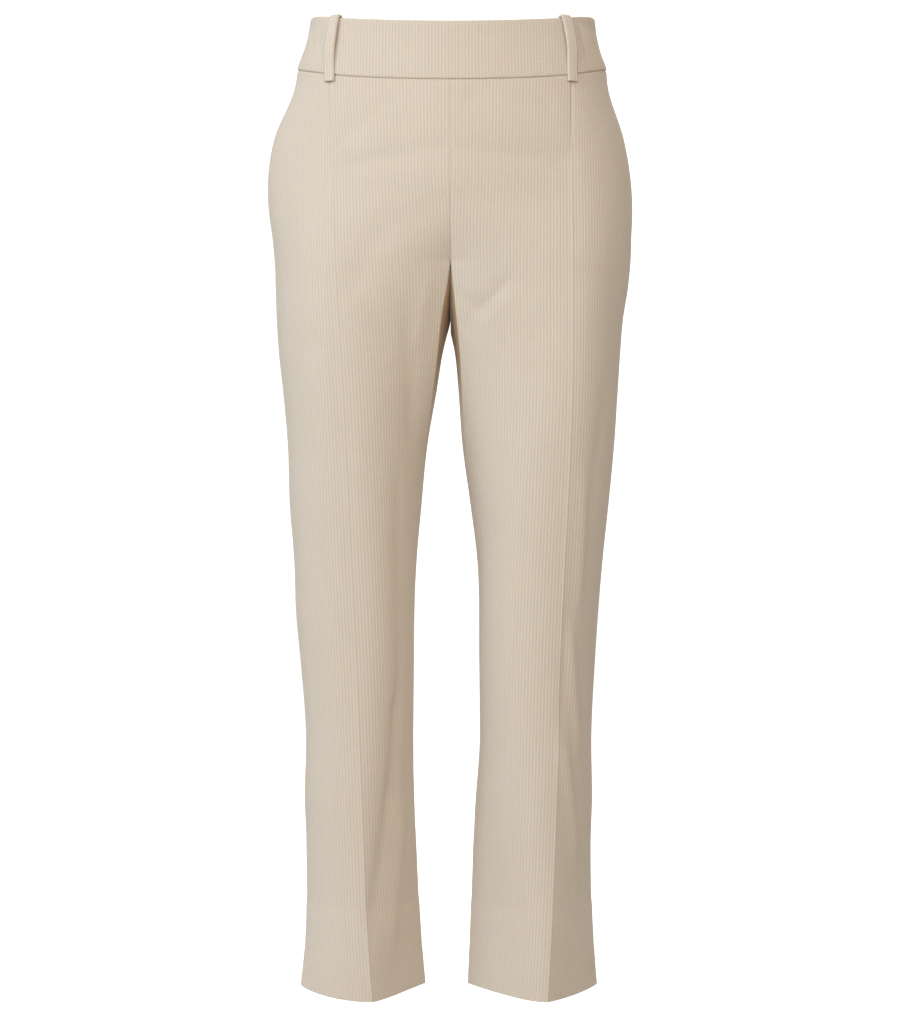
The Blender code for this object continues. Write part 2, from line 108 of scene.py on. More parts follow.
Outline = namedtuple("Outline", "height outer crease inseam")
OUTLINES = {
    RIGHT: [
        Outline(0.040, 0.134, 0.1080, 0.0),
        Outline(0.026, 0.136, 0.1095, 0.0),
        Outline(0.000, 0.141, 0.1120, 0.0),
        Outline(-0.022, 0.149, 0.1145, 0.0),
        Outline(-0.045, 0.153, 0.1150, 0.0),
        Outline(-0.090, 0.171, 0.1135, 0.0),
        Outline(-0.145, 0.178, 0.1120, 0.0),
        Outline(-0.190, 0.1745, 0.1110, 0.0),
        Outline(-0.2175, 0.172, 0.1100, 0.0),
        Outline(-0.235, 0.1715, 0.1090, 0.0018),
        Outline(-0.270, 0.1702, 0.1070, 0.0078),
        Outline(-0.300, 0.1682, 0.1050, 0.0112),
        Outline(-0.340, 0.1638, 0.1025, 0.0160),
        Outline(-0.390, 0.1593, 0.1000, 0.0235),
        Outline(-0.450, 0.1573, 0.0972, 0.0288),
        Outline(-0.500, 0.1532, 0.0950, 0.0330),
        Outline(-0.560, 0.1508, 0.0920, 0.0355),
        Outline(-0.600, 0.1470, 0.0900, 0.0358),
        Outline(-0.680, 0.1415, 0.0870, 0.0362),
        Outline(-0.735, 0.1428, 0.0848, 0.0352),
        Outline(-0.780, 0.1412, 0.0830, 0.0332),
        Outline(-0.870, 0.1415, 0.0790, 0.0285),
        Outline(-0.940, 0.1485, 0.0740, 0.0225),
    ],
    LEFT: [
        Outline(0.040, 0.139, 0.1075, 0.0),
        Outline(0.026, 0.1405, 0.1090, 0.0),
        Outline(0.006, 0.1430, 0.1120, 0.0),
        Outline(-0.009, 0.1468, 0.1140, 0.0),
        Outline(-0.022, 0.1518, 0.1150, 0.0),
        Outline(-0.045, 0.1545, 0.1160, 0.0),
        Outline(-0.090, 0.168, 0.1155, 0.0),
        Outline(-0.145, 0.1765, 0.1150, 0.0),
        Outline(-0.190, 0.1772, 0.1150, 0.0),
        Outline(-0.2175, 0.1760, 0.1150, 0.0),
        Outline(-0.235, 0.1742, 0.1150, 0.0010),
        Outline(-0.270, 0.1687, 0.1150, 0.0050),
        Outline(-0.300, 0.1662, 0.1150, 0.0078),
        Outline(-0.340, 0.1635, 0.1145, 0.0100),
        Outline(-0.390, 0.1602, 0.1130, 0.0125),
        Outline(-0.450, 0.1545, 0.1105, 0.0200),
        Outline(-0.500, 0.1492, 0.1080, 0.0260),
        Outline(-0.600, 0.1416, 0.1040, 0.0282),
        Outline(-0.680, 0.1380, 0.1020, 0.0285),
        Outline(-0.735, 0.1388, 0.1006, 0.0245),
        Outline(-0.780, 0.1374, 0.0990, 0.0220),
        Outline(-0.870, 0.1395, 0.0950, 0.0190),
        Outline(-0.940, 0.1450, 0.0910, 0.0155),
    ],
}

Profile = namedtuple("Profile", "height front back side inner back_crease front_in back_in")
PROFILES = [
    Profile(0.040, -0.046, 0.060, 0.000, 0.000, 0.085, 90, 90),
    Profile(0.000, -0.050, 0.065, 0.000, 0.000, 0.087, 90, 90),
    Profile(-0.045, -0.060, 0.078, 0.002, 0.000, 0.090, 90, 90),
    Profile(-0.090, -0.070, 0.096, 0.004, 0.000, 0.092, 90, 90),
    Profile(-0.145, -0.080, 0.115, 0.006, 0.000, 0.094, 90, 90),
    Profile(-0.190, -0.090, 0.121, 0.006, 0.000, 0.094, 90, 90),
    Profile(-0.2175, -0.094, 0.119, 0.006, -0.079, 0.093, 32, 112),
    Profile(-0.235, -0.095, 0.117, 0.006, -0.077, 0.093, 30, 110),
    Profile(-0.270, -0.097, 0.112, 0.005, -0.071, 0.092, 30, 105),
    Profile(-0.300, -0.097, 0.107, 0.005, -0.062, 0.091, 38, 100),
    Profile(-0.340, -0.096, 0.101, 0.004, -0.047, 0.090, 54, 98),
    Profile(-0.400, -0.092, 0.094, 0.003, -0.022, 0.089, 74, 96),
    Profile(-0.500, -0.084, 0.085, 0.002, 0.002, 0.088, 88, 92),
    Profile(-0.600, -0.077, 0.080, 0.002, 0.004, 0.087, 90, 86),
    Profile(-0.750, -0.073, 0.077, 0.002, 0.004, 0.085, 80, 76),
    Profile(-0.940, -0.070, 0.072, 0.002, 0.003, 0.082, 62, 62),
]

Centre = namedtuple("Centre", "height front back")
CENTRES = [
    Centre(0.040, -0.077, 0.083),
    Centre(0.000, -0.079, 0.087),
    Centre(-0.045, -0.086, 0.099),
    Centre(-0.090, -0.094, 0.115),
    Centre(-0.145, -0.099, 0.127),
    Centre(-0.2175, -0.099, 0.130),
]

Fold = namedtuple("Fold", "height right_out right_in left_out left_in back_out back_in fullness")
FOLDS = [
    Fold(0.040, 38, -36, 38, -36, 30, -28, 0.56),
    Fold(-0.045, 33, -32, 28, -32, 28, -26, 0.56),
    Fold(-0.100, 25, -25, 18, -24, 24, -20, 0.56),
    Fold(-0.160, 19, -21, 11, -17, 20, -14, 0.56),
    Fold(-0.2175, 12, -16, 7, -10, 16, 2, 0.57),
    Fold(-0.290, 6, -14, 7, -8, 16, 10, 0.60),
    Fold(-0.400, 3, -13, 15, -13, 20, 16, 0.62),
    Fold(-0.550, 2, -9, 29, -18, 26, 24, 0.62),
    Fold(-0.700, 2, 4, 38, -19, 32, 32, 0.58),
    Fold(-0.800, 2, 18, 41, -15, 34, 34, 0.53),
    Fold(-0.940, 2, 30, 43, -9, 36, 36, 0.47),
]
print(len(OUTLINES[RIGHT]), "sections to a leg")

# %% [markdown]
# A table is read with a smooth curve through its rows, so a point can be asked for at any
# height. Each arc of a section is a Bezier curve whose two headings are named, because a heading
# is what a pressed crease or a seam really fixes.

# %% Reading the tables


def follow(rows, name, height):
    """A column of a table at these heights, on a smooth curve through its rows."""
    rows = sorted(rows, key=lambda row: row.height)
    knots = np.array([row.height for row in rows])
    values = np.array([getattr(row, name) for row in rows], float)
    step = np.diff(knots)
    slope = np.diff(values) / step
    tangent = np.empty_like(values)
    tangent[0], tangent[-1] = slope[0], slope[-1]
    tangent[1:-1] = (slope[:-1] * step[1:] + slope[1:] * step[:-1]) / (step[1:] + step[:-1])
    turning = slope[:-1] * slope[1:] <= 0
    tangent[1:-1][turning] *= 0.35
    height = np.clip(height, knots[0], knots[-1])
    i = np.clip(np.searchsorted(knots, height) - 1, 0, len(step) - 1)
    t = (height - knots[i]) / step[i]
    rise = (1 + 2 * t) * (1 - t) ** 2 * values[i] + t * t * (3 - 2 * t) * values[i + 1]
    bend = t * (1 - t) ** 2 * tangent[i] - t * t * (1 - t) * tangent[i + 1]
    return rise + bend * step[i]


def ease(value):
    """0 below 0, 1 above 1, and smooth between."""
    value = np.clip(value, 0, 1)
    return value * value * (3 - 2 * value)


def heading(degrees, x_sign, y_sign):
    angle = np.radians(degrees)
    return np.stack([x_sign * np.cos(angle), y_sign * np.sin(angle)], -1)


def arc_between(start, leaving, end, arriving, fullness, t):
    """Points on a rounded arc that leaves start along one heading and reaches end along another."""
    chord = end - start
    length = np.linalg.norm(chord, axis=-1)
    along = chord / length[..., None]

    def turned(a, b):
        return np.arccos(np.clip((a * b).sum(-1), -1, 1))

    least, most = np.radians(8), np.radians(150)
    first = np.maximum(turned(leaving, along), least)
    last = np.maximum(turned(along, arriving), least)
    whole = np.sin(np.minimum(first + last, most))
    reach = fullness * length / whole
    near = np.minimum(reach * np.sin(last), 0.75 * length)[..., None]
    far = np.minimum(reach * np.sin(first), 0.75 * length)[..., None]
    t = t[..., None]
    handles = 3 * (1 - t) ** 2 * t * (start + leaving * near)
    handles = handles + 3 * (1 - t) * t * t * (end - arriving * far)
    return (1 - t) ** 3 * start + handles + t**3 * end


# %% [markdown]
# `surface` is the heart of the lesson: it gives the outer face of the cloth anywhere on a
# quarter of the garment. `across` runs from the side seam (0) over the crease (0.5) to the
# centre seam or the inseam (1).

# %% The surface of the cloth


def mouth_opening(height):
    """1 along the middle of the pocket mouth, easing to 0 at its ends."""
    share = np.clip((MOUTH_TOP - height) / (MOUTH_TOP - MOUTH_FOOT), 0, 1)
    return np.sin(np.pi * share) ** 0.6


def inner_end(side, face, height):
    """Where a section ends inside, on the centre seam or the inseam, and its heading there."""
    centre_y = follow(CENTRES, face, height)
    above = height > CROTCH_HEIGHT
    climb = np.clip((height - CROTCH_HEIGHT) / FORK[face], 0, 1)
    round_share = 1 - (1 - climb) ** 2 if face == FRONT else np.sqrt(1 - (1 - climb) ** 2)
    y = np.where(
        above,
        CROTCH_Y + (centre_y - CROTCH_Y) * round_share,
        follow(PROFILES, "inner", height),
    )
    inseam = np.maximum(follow(OUTLINES[side], "inseam", height), 0.0)
    x = np.where(above, 0.0, inseam) + SEAM_GAP / 2
    y = y + FACING_SIGN[face] * SEAM_GAP / 2
    inseam_degrees = follow(PROFILES, face + "_in", height)
    at_crotch = follow(PROFILES, face + "_in", np.full_like(height, CROTCH_HEIGHT))
    degrees = np.where(above, at_crotch * (1 - round_share**1.5), inseam_degrees)
    return np.stack([x, y], -1), degrees


SOFTENED = 38 * MM
SOFTENING_REACH = 60 * MM
SEAM_PULL = 5


def soft_inner_end(side, face, height):
    """The inner end averaged over a short height, without the corner at the end of the seam."""
    reach = SOFTENED * np.exp(-(((height - CROTCH_HEIGHT) / SOFTENING_REACH) ** 2))
    steps = np.linspace(-1, 1, 11)
    weights = np.cos(steps * np.pi / 2.2) ** 2
    ends = [inner_end(side, face, height + step * reach) for step in steps]
    place = sum(weight * end[0] for weight, end in zip(weights, ends)) / weights.sum()
    degrees = sum(weight * end[1] for weight, end in zip(weights, ends)) / weights.sum()
    return place, degrees


def surface(side, face, across, height, mouth=0.0):
    """Points of the cloth's outer face on one quarter of the garment.

    The end of the centre seam is a corner in the seams only, and pulls in only the cloth that
    is close beside it. Between the thighs the legs press flat on each other.
    """
    across, height = np.broadcast_arrays(np.asarray(across, float), np.asarray(height, float))
    to_front = FACING_SIGN[face]
    crease_x = follow(OUTLINES[side], "crease", height)
    if face == BACK:
        crease_x = follow(PROFILES, "back_crease", height)
    crease = np.stack([crease_x, follow(PROFILES, face, height)], -1)
    opening = mouth * mouth_opening(height)
    seam_x = follow(OUTLINES[side], "outer", height) + MOUTH_STAND_OFF * opening
    seam_y = follow(PROFILES, "side", height) + to_front * (SEAM_GAP / 2 + 0.6 * MM * opening)
    seam = np.stack([seam_x, seam_y], -1)
    inside, inside_degrees = soft_inner_end(side, face, height)
    pull = inner_end(side, face, height)[0] - inside
    prefix = side if face == FRONT else "back"
    fullness = follow(FOLDS, "fullness", height)
    square = np.full_like(height, 90.0)
    outer = arc_between(
        crease,
        heading(follow(FOLDS, prefix + "_out", height), 1, -to_front),
        seam,
        heading(square, 1, -to_front),
        fullness,
        np.clip(1 - 2 * across, 0, 1),
    )
    inner = arc_between(
        crease,
        heading(follow(FOLDS, prefix + "_in", height), -1, -to_front),
        inside,
        heading(inside_degrees, -1, -to_front),
        fullness,
        np.clip(2 * across - 1, 0, 1),
    )
    inner = inner + pull * np.clip(2 * across - 1, 0, 1)[..., None] ** SEAM_PULL
    plan = np.where((across < 0.5)[..., None], outer, inner)
    x = SIGN[side] * np.maximum(plan[..., 0], SEAM_GAP / 2)
    return np.stack([x, plan[..., 1], height], -1)


def edge_height(edge, face, across):
    """Height of an edge that runs round the waist, dipping to the front and rising to the back."""
    centre = edge.front if face == FRONT else edge.back
    share = np.sin(np.pi / 2 * np.clip(np.asarray(across, float), 0, 1)) ** edge.hollow
    return edge.side + (centre - edge.side) * share


def hem(across):
    """Height of the hem, a little longer at the creases."""
    return HEM_AT_SIDE - HEM_DROP_AT_CREASE * np.sin(np.pi * np.asarray(across, float)) ** 2


# %% [markdown]
# ## Ribs
#
# Corduroy is woven flat, with extra threads that are cut and brushed up into rows of pile. Each
# row is a wale, and this cloth has eight to the inch. A bump map would give the shading of
# wales but not the scalloped line where they run into a seam, so they are modelled: every rib
# gets six columns of points. The columns are laid out along the cloth from a grain line, which
# is where a cutter squares the pattern to the ribs, and end wherever a seam cuts them off.

# %% Laying columns along the cloth
WALE = 25.4 * MM / 8
COLUMNS_PER_WALE = 6
WALE_HEIGHT = 0.18 * MM
FINE = np.linspace(0, 1, 241)

Laid = namedtuple("Laid", "t distance low high left right")


def wale_relief(distance):
    """Height of the ribs at a distance from the grain line: round cords with narrow valleys."""
    return WALE_HEIGHT * ((0.5 + 0.5 * np.cos(2 * np.pi * distance / WALE)) ** 0.7 - 0.5)


def lay_columns(place, grain, shaped_rows):
    """Columns at even distances from the grain line, held at the edges of the piece.

    place turns places across the piece, from 0 to 1, into a row of points for each level. In
    the first rows the dart and the iron shape the cloth, so that its ribs stay upright between
    the grain line and the centre seam, and the seam doesn't cut them off.
    """
    fine = place(FINE)
    steps = np.linalg.norm(np.diff(fine, axis=1), axis=-1)
    run = np.concatenate([np.zeros((len(fine), 1)), np.cumsum(steps, axis=1)], axis=1)
    run -= run[:, [int(round(grain * (len(FINE) - 1)))]]
    if shaped_rows:
        even = run[shaped_rows, -1] / run[:shaped_rows, -1:]
        run[:shaped_rows] *= np.where(run[:shaped_rows] > 0, even, 1)
    first = int(np.floor(run[:, 0].min() / WALE)) * COLUMNS_PER_WALE
    last = int(np.ceil(run[:, -1].max() / WALE)) * COLUMNS_PER_WALE
    wanted = np.arange(first, last + 1)[None, :] * WALE / COLUMNS_PER_WALE
    low, high = run[:, :1], run[:, -1:]
    distance = np.clip(wanted, low, high)
    t = np.stack([np.interp(d, r, FINE) for d, r in zip(distance, run)])
    left = (wanted <= low).sum(1) - 1
    right = wanted.shape[1] - (wanted >= high).sum(1)
    return Laid(t, distance, low, high, np.maximum(left, 0), right)


# %% [markdown]
# ## From points to cloth
#
# A cloth is a wall with two faces: the ribbed face, with a point on every column, and a smooth
# back that needs only one column for each rib. `cloth_mesh` closes the two with a rim. It also
# writes a UV map in metres, measured along and across the grain, so that the pile's pattern can
# follow the cloth rather than the room.

# %% A closed wall from two grids of points
RIBBED, SMOOTH = 0, 1


def numbered(columns, start):
    """Numbers for the points that a grid really uses, where several columns may share one."""
    used = np.zeros((len(columns), columns.max() + 1), bool)
    rows = np.arange(len(columns))[:, None]
    used[rows, columns] = True
    number = np.cumsum(used).reshape(used.shape) - 1 + start
    return used, number[rows, columns]


def cloth_mesh(name, outer, inner, laid, down, flip):
    """The ribbed face keeps every column, and the back keeps one column for each rib."""
    rows, count = outer.shape[:2]
    every = np.arange(0, count, COLUMNS_PER_WALE)
    held = np.clip(np.arange(count)[None, :], laid.left[:, None], laid.right[:, None])
    used, front = numbered(held, 0)
    coarse_used, back = numbered(held[:, every], int(used.sum()))
    uv = np.stack([laid.distance, np.broadcast_to(down[:, None], laid.distance.shape)], -1)

    def kept(which, values):
        return values[:, : which.shape[1]][which]

    points = np.concatenate([kept(used, outer), kept(coarse_used, inner)])
    uv = np.concatenate([kept(used, uv), kept(coarse_used, uv)])
    front, back = front.tolist(), back.tolist()
    faces, finish = [], []

    def add(corners, which=RIBBED):
        corners = [c for k, c in enumerate(corners) if c != corners[k - 1]]
        if len(corners) > 2:
            faces.append(corners[::-1] if flip else corners)
            finish.append(which)

    for a, b, c, d in zip(front, front[1:], back, back[1:]):
        for j in range(count - 1):
            add([a[j], b[j], b[j + 1], a[j + 1]])
        for j in range(len(every) - 1):
            add([c[j + 1], d[j + 1], d[j], c[j]], SMOOTH)
        add([a[0], c[0], d[0], b[0]])
        add([a[-1], b[-1], d[-1], c[-1]])
    for a, c, turn in ((front[0], back[0], 1), (front[-1], back[-1], -1)):
        for k in range(len(every) - 1):
            add((a[every[k] : every[k + 1] + 1] + [c[k + 1], c[k]])[::turn])
    mesh = bpy.data.meshes.new(name)
    mesh.from_pydata(points.tolist(), [], faces)
    mesh.polygons.foreach_set("material_index", finish)
    corner_point = np.empty(len(mesh.loops), np.int32)
    mesh.loops.foreach_get("vertex_index", corner_point)
    layer = mesh.uv_layers.new(name="cloth")
    layer.data.foreach_set("uv", uv[corner_point].astype(np.float32).ravel())
    mesh.shade_smooth()
    obj = bpy.data.objects.new(name, mesh)
    bpy.context.scene.collection.objects.link(obj)
    return obj


# %% [markdown]
# A wall gets its thickness along the normals of its outer face, except on a seam. Two panels
# that meet at an angle would cross there, so each seam edge moves only within the seam's own
# plane, as the corners of a picture frame are mitred.

# %% Thickness and seams
LEAST_MITRE = 0.4
NEAR_CENTRE = 2 * MM
ROLL_WIDTH = 2.2 * MM


def turned_over(side, face):
    """Whether a grid that runs inwards from the side seam would show its back."""
    return SIGN[side] * FACING_SIGN[face] < 0


def outward_normals(grid, flip):
    normal = np.cross(np.gradient(grid, axis=0), np.gradient(grid, axis=1))
    length = np.linalg.norm(normal, axis=-1, keepdims=True)
    return normal / np.maximum(length, 1e-15) * (-1 if flip else 1)


def seam_planes(grid, laid):
    """For each edge, the axes that its points keep while the wall gets its thickness."""
    planes = []
    for column in (laid.left, laid.right):
        point = grid[np.arange(len(grid)), column]
        centre = np.abs(point[:, 0]) < NEAR_CENTRE
        keep_x = centre & (point[:, 2] > CROTCH_HEIGHT - SEAM_GAP)
        keep_y = ~centre | (point[:, 2] < CROTCH_HEIGHT + SEAM_GAP)
        planes.append(np.stack([keep_x, keep_y, np.zeros_like(keep_x)], -1))
    return planes


def rolled(distance_to_seam, depth, width=ROLL_WIDTH):
    """How far the cloth sinks beside a seam or a folded edge."""
    return depth * np.clip(1 - distance_to_seam / width, 0, 1) ** 2


def ribbed_cloth(name, place, grain, down, thickness, sink, flip, mitred=True, off=0.0, shaped=0):
    """A piece of corduroy on the form that place gives.

    sink says how far the cloth lies below that form, from its columns and its points.
    """
    laid = lay_columns(place, grain, shaped)
    base = place(laid.t)
    normal = outward_normals(base, flip)
    level = (off - sink(laid, base))[..., None]
    relief = wale_relief(laid.distance)[..., None]
    planes = seam_planes(base, laid)
    column = np.arange(base.shape[1])[None, :]
    at_edge = (column <= laid.left[:, None], column >= laid.right[:, None])
    to_edge = (laid.distance - laid.low, laid.high - laid.distance)
    lift = normal.copy()
    inwards = -normal
    if mitred:
        for kept, edge, gap in zip(planes, at_edge, to_edge):
            # Near the centre seams the cloth only moves along their plane, so that they stay shut.
            lift[..., 0] *= np.where(kept[:, :1], np.clip(gap / ROLL_WIDTH, 0, 1), 1)
            inwards = np.where(edge[..., None] & kept[:, None, :], 0.0, inwards)
    inwards /= np.maximum(np.linalg.norm(inwards, axis=-1, keepdims=True), 1e-15)
    square = np.clip(-(inwards * normal).sum(-1, keepdims=True), LEAST_MITRE, 1)
    outer = base + lift * (level + relief)
    inner = base + lift * level + inwards * thickness / square
    obj = cloth_mesh(name, outer, inner, laid, down, flip)
    widest = float((laid.high - laid.low).max())
    print(name, len(obj.data.polygons), "faces,", round(1000 * widest), "mm at its widest")
    return obj


# %% [markdown]
# ## Folds
#
# Cloth on a body is never smooth. It sinks beside a pressed crease, drags towards the crotch and
# ripples where the knee bends. Each such trough or ridge is a row of a table: a soft line from
# one place on the cloth to another, with a width and a depth, below 0 where it is a ridge.
# Placing them one by one keeps them uneven, as the real ones are. `distance` is measured across the
# cloth from the pressed crease, below 0 towards the side seam.

# %% Table of folds
Trough = namedtuple("Trough", "panel distance height to_distance to_height width depth")
TROUGHS = [
    Trough("front_right", 0.008, -0.104, 0.045, -0.078, 0.008, 1.9 * MM),
    Trough("front_right", 0.010, -0.128, 0.108, -0.112, 0.008, 2.8 * MM),
    Trough("front_right", 0.070, -0.176, 0.112, -0.160, 0.010, 1.5 * MM),
    Trough("front_right", 0.018, -0.238, 0.044, -0.196, 0.017, 1.4 * MM),
    Trough("front_right", 0.044, -0.196, 0.090, -0.180, 0.017, 1.1 * MM),
    Trough("front_right", 0.030, -0.236, 0.046, -0.228, 0.008, 0.8 * MM),
    Trough("front_right", 0.014, -0.262, 0.036, -0.261, 0.004, -0.7 * MM),
    Trough("front_right", -0.014, -0.291, 0.002, -0.294, 0.004, -0.7 * MM),
    Trough("front_right", 0.070, -0.292, 0.075, -0.362, 0.015, 2.4 * MM),
    Trough("front_right", 0.088, -0.250, 0.078, -0.290, 0.010, -1.2 * MM),
    Trough("front_right", 0.056, -0.440, 0.050, -0.560, 0.015, 1.8 * MM),
    Trough("front_right", 0.052, -0.590, 0.046, -0.650, 0.012, 2.2 * MM),
    Trough("front_right", 0.046, -0.650, 0.035, -0.730, 0.013, 3.0 * MM),
    Trough("front_right", 0.035, -0.730, 0.010, -0.835, 0.013, 3.2 * MM),
    Trough("front_right", 0.054, -0.760, 0.034, -0.855, 0.013, -2.6 * MM),
    Trough("front_right", -0.030, -0.300, -0.060, -0.292, 0.008, 1.3 * MM),
    Trough("front_left", 0.095, -0.060, 0.028, -0.066, 0.007, 2.0 * MM),
    Trough("front_left", 0.110, -0.114, 0.014, -0.122, 0.009, 2.8 * MM),
    Trough("front_left", 0.100, -0.160, 0.026, -0.166, 0.010, 1.3 * MM),
    Trough("front_left", 0.107, -0.254, 0.090, -0.266, 0.007, 2.0 * MM),
    Trough("front_left", 0.092, -0.266, 0.066, -0.245, 0.009, 2.4 * MM),
    Trough("front_left", 0.103, -0.277, 0.094, -0.283, 0.005, 1.3 * MM),
    Trough("front_left", -0.012, -0.226, -0.058, -0.238, 0.008, 1.7 * MM),
    Trough("front_left", -0.040, -0.360, -0.030, -0.440, 0.014, 1.5 * MM),
    Trough("front_left", -0.018, -0.440, -0.020, -0.535, 0.011, -2.2 * MM),
    Trough("front_left", -0.006, -0.560, -0.004, -0.645, 0.008, 1.3 * MM),
    Trough("front_left", -0.012, -0.585, -0.028, -0.672, 0.011, -3.0 * MM),
    Trough("front_left", -0.010, -0.690, -0.030, -0.775, 0.011, -3.0 * MM),
    Trough("back_right", 0.098, -0.236, 0.128, -0.205, 0.012, 2.38 * MM),
    Trough("back_right", 0.030, -0.262, 0.082, -0.246, 0.012, 2.21 * MM),
    Trough("back_right", -0.040, -0.515, 0.035, -0.498, 0.010, 2.21 * MM),
    Trough("back_right", -0.034, -0.556, 0.048, -0.548, 0.009, 1.87 * MM),
    Trough("back_right", 0.030, -0.620, 0.020, -0.800, 0.013, 2.21 * MM),
    Trough("back_left", 0.102, -0.240, 0.132, -0.212, 0.011, 2.21 * MM),
    Trough("back_left", 0.024, -0.256, 0.076, -0.250, 0.013, 2.38 * MM),
    Trough("back_left", -0.044, -0.508, 0.028, -0.502, 0.011, 2.04 * MM),
    Trough("back_left", -0.020, -0.566, 0.050, -0.545, 0.009, 2.04 * MM),
    Trough("back_left", -0.026, -0.600, -0.020, -0.760, 0.013, 2.21 * MM),
    Trough("band_front", 0.030, 0.0020, 0.105, 0.0040, 0.006, 0.6 * MM),
    Trough("band_front", 0.136, 0.0170, 0.163, 0.0130, 0.005, 1.8 * MM),
    Trough("band_front", 0.146, 0.0040, 0.158, -0.0080, 0.006, -1.4 * MM),
    Trough("band_front", 0.135, 0.0050, 0.141, -0.0090, 0.004, 1.1 * MM),
    Trough("band_front", 0.145, -0.0130, 0.166, -0.0080, 0.004, 1.2 * MM),
    Trough("band_front", 0.161, 0.0040, 0.164, -0.0040, 0.004, 1.0 * MM),
    Trough("band_front", -0.158, 0.0150, -0.150, -0.0100, 0.006, 0.9 * MM),
    Trough("band_front", -0.140, 0.0080, -0.136, -0.0100, 0.005, 0.7 * MM),
]


def sunk_in_folds(panel, distance, height):
    sunk = np.zeros(distance.shape)
    for row in TROUGHS:
        if row.panel != panel:
            continue
        start = np.array([row.distance, row.height])
        line = np.array([row.to_distance, row.to_height]) - start
        length = np.linalg.norm(line)
        line /= length
        along = (distance - start[0]) * line[0] + (height - start[1]) * line[1]
        beside = (distance - start[0]) * line[1] - (height - start[1]) * line[0]
        past = np.maximum(np.maximum(-along, along - length), 0)
        sunk += row.depth * np.exp(-2 * (beside**2 + past**2 / 4) / row.width**2)
    return sunk


# %% [markdown]
# ## Leg panels
#
# A panel runs from the waist seam to the hem. Its rows crowd together where something small
# happens: at the seams, round the fork where the centre seam turns under, and at the hem. At a
# seam the cloth rolls in by half a millimetre to two, which draws the seam as a real groove. The
# front darts are such a groove too, under the belt loops, and fade into the pressed crease.

# %% Rows of a leg panel
EDGE_ROWS = np.array([0.0, 0.6, 1.3, 2.2, 3.6]) * MM
BODY_STEP = 7.0 * MM
LEG_STEP = 8.0 * MM
FORK_ROWS = 14


def panel_levels(face):
    """Heights of a panel's rows at its inner edge, closer together where the fork turns under."""
    top = edge_height(WAIST_SEAM, face, 1.0) - SEAM_GAP / 2
    fork_top = CROTCH_HEIGHT + FORK[face]
    body_top = top - EDGE_ROWS[-1]
    body = np.linspace(body_top, fork_top, int((body_top - fork_top) / BODY_STEP) + 2)[1:]
    angle = np.linspace(np.pi / 2, 0, FORK_ROWS + 1)[1:]
    turning = CROTCH_HEIGHT + FORK[face] * (1 - np.cos(angle))
    foot = hem(1.0)
    leg_foot = foot + EDGE_ROWS[-1]
    share = np.linspace(0, 1, int((CROTCH_HEIGHT - leg_foot) / LEG_STEP) + 1)[1:]
    leg = CROTCH_HEIGHT + (leg_foot - CROTCH_HEIGHT) * share**1.15
    return np.concatenate([top - EDGE_ROWS, body, turning, leg, foot + EDGE_ROWS[-2::-1]])


def panel_heights(face, levels, across):
    """Height of each point of a panel: rows follow the waist seam above and the hem below."""
    top, level = levels[0], levels[:, None]
    near_top = np.clip((level - CROTCH_HEIGHT) / (top - CROTCH_HEIGHT), 0, 1) ** 1.5
    near_hem = np.clip((CROTCH_HEIGHT - level) / (CROTCH_HEIGHT - hem(1.0)), 0, 1) ** 3
    seam_change = edge_height(WAIST_SEAM, face, across) - edge_height(WAIST_SEAM, face, 1.0)
    return level + seam_change * near_top + (hem(across) - hem(1.0)) * near_hem


# %% Build the leg panels
CLOTH = 1.8 * MM
ROLL_DEPTH = 0.9 * MM
CENTRE_ROLL = {FRONT: 0.4 * MM, BACK: 0.8 * MM}
INSEAM_ROLL = {FRONT: 0.7 * MM, BACK: 2.0 * MM}
INSEAM_ROLL_WIDTH = {FRONT: 2.2 * MM, BACK: 5.0 * MM}
CREASE_RISE = 0.45 * MM
CREASE_WIDTH = 1.5 * MM
PRESSED = 2.0 * MM
WAIST_ROLL = 1.3 * MM
WAIST_ROLL_WIDTH = 1.8 * MM
DART_FOOT = -0.105
DART_DEPTH = 1.1 * MM
DART_WIDTH = 1.3 * MM
DART_FADE = 0.03
HEM_TURN = 40 * MM
HEM_PRICK, HEM_PRICK_WIDTH = 0.22 * MM, 1.2 * MM
HEM_TOP, HEM_STEP, HEM_PROUD = -0.833, 5.0 * MM, 0.6 * MM  # the cloth turned up inside


